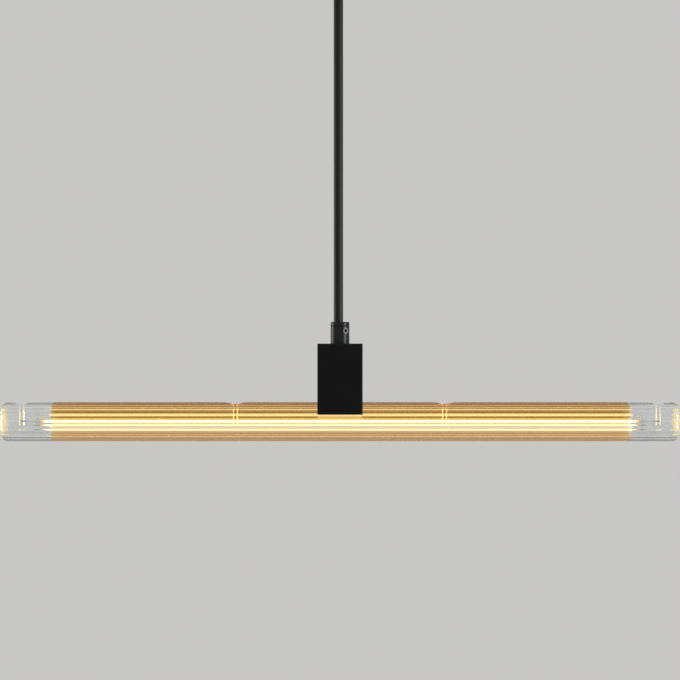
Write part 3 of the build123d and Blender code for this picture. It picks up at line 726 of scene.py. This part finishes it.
outer_wall.data.materials.clear()
outer_wall.data.materials.append(ribbed_glass.material)
hollow.data.materials.clear()
hollow.data.materials.append(bore_glass.material)
start()
hollow.select_set(True)
outer_wall.select_set(True)
bpy.context.view_layer.objects.active = outer_wall
bpy.ops.object.join()
bpy.ops.object.shade_smooth_by_angle(angle=smooth_angle)
ribbed_tube = outer_wall
ribbed_tube.name = "ribbed_tube"
ribbed_tube.data.name = "ribbed_tube"
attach(ribbed_tube, "root")
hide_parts("glass_tube")
print("glass faces:", len(ribbed_tube.data.polygons))

# %% [markdown]
# ## The filament
# The filament is a row of small chips under a yellow phosphor coat. Lit, it is far brighter than
# anything round it, so it clips to a warm white through the amber tint painted on the glass. Its two tips
# fade.

# %% Finish the filament
chip_pitch = 2.2 * mm
tip_fade = (210.5 * mm, 219.5 * mm)
between_chips = (1.0, 0.56, 0.21)
over_chips = (1.0, 0.64, 0.28)
tip_glow = (0.05, 0.02, 0.004)

phosphor = Finish("filament_coat", {"Roughness": 0.6, "Emission Strength": 12.0})
[x] = phosphor.axes("X")
faded = phosphor.rise(abs(x), *tip_fade)
chip_row = phosphor.math("SINE", x * (2 * pi / chip_pitch)) * 0.5 + 0.5
chip_glow = phosphor.mix(chip_row, between_chips, over_chips)
grain = phosphor.noise(1400, 2.0)
phosphor.set(
    {
        "Base Color": phosphor.mix(grain, (0.95, 0.62, 0.16), (1.0, 0.74, 0.3)),
        "Emission Color": phosphor.mix(faded, chip_glow, tip_glow),
        "Normal": phosphor.relief(grain + chip_row, 0.05 * mm),
    }
)
dress(phosphor, "led_filament")

# %% [markdown]
# ## Metals
# Plated, drawn and turned metals differ in how their tool marks run. A cloudy noise breaks up
# the gloss of plating, and a noise that is stretched along the piece gives drawn wire and the
# rings that a lathe leaves.

# %% Finish the metals


def metal(name, bright, dull, gloss, scale, stretch=(1, 1, 1), depth=0.01 * mm):
    """A bare or plated metal whose marks run along a stretched noise."""
    made = Finish(name, {"Metallic": 1.0})
    marks = made.noise(scale, 3.0, stretch)
    clouds = made.noise(180, 3.0)
    made.set(
        {
            "Base Color": made.mix(clouds, dull, bright),
            "Roughness": gloss + marks * 0.14 + clouds * 0.08,
            "Normal": made.relief(marks, depth, 0.5),
        }
    )
    return made


zinc = metal("zinc_plate", (0.66, 0.67, 0.69), (0.5, 0.52, 0.55), 0.2, 900)
brass = metal("contact_brass", (0.82, 0.6, 0.28), (0.62, 0.43, 0.18), 0.18, 1500, (0.1, 0.1, 1))
set_screw_steel = metal("set_screw_steel", (0.15, 0.155, 0.155), (0.12, 0.125, 0.125), 0.3, 1200)
nickel = metal("nickel_wire", (0.62, 0.6, 0.56), (0.45, 0.43, 0.4), 0.2, 2500, (0.05, 1, 1))
dress(
    zinc,
    "holder_nipple",
    "holder_washer",
    "socket_terminal_screws",
    "socket_cover_screws",
    "rose_nipple",
    "rose_washer",
    "rose_nut",
    "rose_strap",
    "rose_side_screws",
    "rose_pole_screws",
    "rose_block_screw",
)
dress(set_screw_steel, "holder_grip_screw", "rose_grip_screw")
dress(
    brass,
    "cap_contact_front",
    "cap_contact_back",
    "socket_spring_front",
    "socket_spring_back",
    "socket_terminal_front",
    "socket_terminal_back",
)
dress(
    nickel,
    "filament_ferrule_left",
    "filament_ferrule_right",
    "filament_end_wire_left",
    "filament_end_wire_right",
    "filament_hook_left",
    "filament_hook_right",
    "feed_wire_left",
    "feed_wire_right",
)

# %% [markdown]
# The cord grips are turned from bar and blackened, so they keep a metal's sharp bright streaks
# on a dark body, with faint rings from the lathe and a fine groove under the free end, whose
# colour is darkened with painted shade.

# %% Finish the cord grips
groove_place = 3.1 * mm
groove_side = (0.15 * mm, 0.35 * mm)
# Painted shade: the groove's colour is darker than the rest of the grip.
painted_groove_shade = (0.003, 0.003, 0.003)

grip_finish = Finish("blackened_grip", {"Metallic": 0.9})
[z] = grip_finish.axes("Z")
holder_groove = abs(z - (holder_grip_top - groove_place))
rose_groove = abs(z - (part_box("rose_grip")[0].z + groove_place))
off_groove = grip_finish.math("MINIMUM", holder_groove, rose_groove)
groove = 1 - grip_finish.rise(off_groove, *groove_side)
rings = grip_finish.noise(2600, 2.0, (0.02, 0.02, 1))
smudge = grip_finish.noise(140, 3.0)
blackened = grip_finish.mix(smudge, (0.017, 0.0185, 0.0185), (0.024, 0.026, 0.026))
grip_finish.set(
    {
        "Base Color": grip_finish.mix(groove, blackened, painted_groove_shade),
        "Roughness": 0.26 + rings * 0.08 + smudge * 0.06,
        "Normal": grip_finish.relief(rings * 0.1 - groove, 0.2 * mm, 0.6),
    }
)
dress(grip_finish, "holder_grip", "rose_grip")

# %% [markdown]
# ## Powder coat
# The housing and the rose's cup are sprayed with black powder and baked. The coat flows into a
# fine orange-peel skin, nearly matt from the front and silky along its edges.

# %% Finish the housing and the cup
powder = Finish("black_powder_coat", {"IOR": 1.45, "Specular IOR Level": 0.15})
peel = powder.noise(1500, 1.0)
speckle = powder.noise(6000, 2.0)
wear = powder.noise(90, 4.0)
powder.set(
    {
        "Base Color": powder.mix(wear, (0.0015, 0.0015, 0.0015), (0.003, 0.003, 0.003)),
        "Roughness": 0.38 + wear * 0.1 + speckle * 0.06,
        "Normal": powder.relief(peel * 0.8 + speckle * 0.2, 0.03 * mm, 0.5),
    }
)
dress(powder, "holder_housing", "rose_cup")

# %% [markdown]
# ## The cable's sheath
# The sheath is smooth black plastic over two twisted cores, which show through it as a very
# slow spiral. The spiral follows the angle round the cable and its height.

# %% Finish the cable
sheath = Finish("cable_sheath", {"IOR": 1.5, "Specular IOR Level": 0.25})
x, y, z = sheath.axes()
twist_pitch = 45 * mm
turn = sheath.math("ARCTAN2", y - cable_points[0][1], x - cable_points[0][0])
spiral = sheath.math("SINE", turn * 2 + z * (2 * pi / twist_pitch))
skin = sheath.noise(1800, 2.0, (1, 1, 0.08))
sheath.set(
    {
        "Base Color": sheath.mix(skin, (0.004, 0.004, 0.004), (0.007, 0.007, 0.007)),
        "Roughness": 0.34 + skin * 0.12,
        "Normal": sheath.relief(spiral * 0.5 + skin * 0.25, 0.08 * mm, 0.5),
    }
)
cable_curve.materials.append(sheath.material)
print(sheath.material.name, "on", cable.name)

# %% [markdown]
# ## Mouldings, ceramic and insulation
# What is inside the holder and the rose is plain trade material: a black cap, a pale ceramic
# insert, white mouldings, coloured cores and a small circuit board. Each gets its own fine
# grain, gloss and slight unevenness.

# %% Finish the mouldings


def moulding(name, colour, shade, gloss, grain, depth=0.02 * mm, **fixed):
    """A moulded or fired surface with a fine grain and a slightly cloudy colour."""
    made = Finish(name, fixed)
    fine = made.noise(grain, 2.0)
    clouds = made.noise(120, 4.0)
    made.set(
        {
            "Base Color": made.mix(clouds, colour, shade),
            "Roughness": gloss + fine * 0.12,
            "Normal": made.relief(fine, depth, 0.4),
        }
    )
    return made


dress(moulding("cap_moulding", (0.03, 0.03, 0.03), (0.05, 0.048, 0.046), 0.42, 2600), "cap_base")
dress(
    moulding("steatite", (0.78, 0.75, 0.68), (0.86, 0.84, 0.79), 0.5, 1800, 0.03 * mm), "socket_body"
)
dress(moulding("cover_moulding", (0.74, 0.71, 0.65), (0.8, 0.78, 0.72), 0.4, 2400), "socket_cover")
dress(
    moulding("block_moulding", (0.82, 0.82, 0.8), (0.88, 0.88, 0.86), 0.36, 2000), "rose_terminal_block"
)
dress(moulding("capacitor_sleeve", (0.05, 0.055, 0.08), (0.08, 0.09, 0.12), 0.22, 900), "driver_capacitor")
dress(moulding("chip_moulding", (0.02, 0.02, 0.02), (0.035, 0.035, 0.035), 0.5, 4000), "driver_chips")
dress(
    moulding("brown_insulation", (0.2, 0.08, 0.03), (0.26, 0.11, 0.05), 0.3, 1500),
    "holder_core_line",
    "rose_core_line",
)
dress(
    moulding("blue_insulation", (0.03, 0.14, 0.42), (0.05, 0.19, 0.5), 0.3, 1500),
    "holder_core_neutral",
    "rose_core_neutral",
)

# %% [markdown]
# The driver's board is copper tracks under green lacquer. A wave across the board, cut off to
# bands, gives the tracks their lighter colour and their slight height.

# %% Finish the circuit board
track_pitch = 1.6 * mm

board = Finish("circuit_board", {"Roughness": 0.35})
[y] = board.axes("Y")
tracks = board.rise(board.math("SINE", y * (2 * pi / track_pitch)), 0.2, 0.4)
board.set(
    {
        "Base Color": board.mix(tracks, (0.02, 0.12, 0.06), (0.05, 0.22, 0.11)),
        "Normal": board.relief(tracks, 0.03 * mm, 0.6),
    }
)
dress(board, "driver_board")

# %% [markdown]
# ## The room
# The room is plain and pale. The floor lies well below the lamp and fades into the pale world
# with distance, so no horizon crosses the picture.

# %% Make the floor
floor_height = -1.6
floor_reach = 6.0
floor_fade = (1.5, 3.6)

start()
bpy.ops.mesh.primitive_circle_add(
    vertices=96, radius=floor_reach, fill_type="NGON", location=(0, 0, floor_height)
)
floor = settle("floor")
floor_finish = Finish("floor_paint", {"Base Color": (0.72, 0.715, 0.705), "Roughness": 0.8})
away = floor_finish.node("VectorMath", {0: floor_finish.place}, output="Value", operation="LENGTH")
fade = floor_finish.rise(away, *floor_fade)
clear = floor_finish.node("BsdfTransparent")
shading = floor_finish.node(
    "MixShader", {0: fade, 1: Value(floor_finish, floor_finish.shader.outputs[0]), 2: clear}
)
floor_output = floor_finish.tree.nodes["Material Output"]
floor_finish.tree.links.new(shading.socket, floor_output.inputs["Surface"])
floor.data.materials.append(floor_finish.material)
print("floor at", floor_height)

# %% [markdown]
# The world has two backgrounds. The camera, gloss and glass see one at its full strength, and
# the other, a little weaker, lights the lamp.

# %% Make the world
room_colour = (0.58, 0.575, 0.565)
light_strength = 0.8

world = bpy.data.worlds.new("pale_room")
bpy.context.scene.world = world
world.use_nodes = True
world_nodes = world.node_tree.nodes
world_links = world.node_tree.links
soft_light = world_nodes["Background"]
soft_light.inputs["Color"].default_value = (*room_colour, 1)
soft_light.inputs["Strength"].default_value = light_strength
seen = world_nodes.new("ShaderNodeBackground")
seen.inputs["Color"].default_value = (*room_colour, 1)
seen.inputs["Strength"].default_value = 1.0
path = world_nodes.new("ShaderNodeLightPath")
seen_share = path.outputs["Is Camera Ray"]
for name in ("Is Glossy Ray", "Is Transmission Ray"):
    most = world_nodes.new("ShaderNodeMath")
    most.operation = "MAXIMUM"
    world_links.new(seen_share, most.inputs[0])
    world_links.new(path.outputs[name], most.inputs[1])
    seen_share = most.outputs[0]
both = world_nodes.new("ShaderNodeMixShader")
world_links.new(seen_share, both.inputs[0])
world_links.new(soft_light.outputs[0], both.inputs[1])
world_links.new(seen.outputs[0], both.inputs[2])
world_links.new(both.outputs[0], world_nodes["World Output"].inputs["Surface"])
print("world lights at", light_strength, "of what is seen")

# %% [markdown]
# ## Studio light
# A long soft lamp above the front lights the whole tube evenly: it is much longer than the
# tube, so its reflection has no end on the glass. Two smaller ones stand far out to the left and
# right at the holder's height, off the tube's own line, so that the tube doesn't mirror them
# when it is seen from an end. Only faces that turn towards them catch them, which draws the thin
# bright edges of the box and the two upright streaks on the cord grip and the cable.

# %% Light the room


def softbox(name, place, size, power):
    """A large rectangular lamp, wide and high, that faces the holder."""
    data = bpy.data.lights.new(name, "AREA")
    data.shape = "RECTANGLE"
    data.size, data.size_y = size
    data.energy = power
    lamp = bpy.data.objects.new(name, data)
    lamp.location = place
    aim = Vector((0, 0, axis_height)) - Vector(place)
    lamp.rotation_euler = aim.to_track_quat("-Z", "Y").to_euler()
    lamp.visible_camera = False
    bpy.context.scene.collection.objects.link(lamp)
    print(name, "at", place, "with", power, "W")


softbox("top_light", (0, -1.1, 1.1), (3.4, 1.4), 13)
softbox("left_light", (-1.88, 0.5, -0.2), (0.6, 0.6), 11)
softbox("right_light", (1.75, -0.8, -0.2), (0.9, 0.6), 16)
bpy.context.scene.view_settings.view_transform = "Standard"
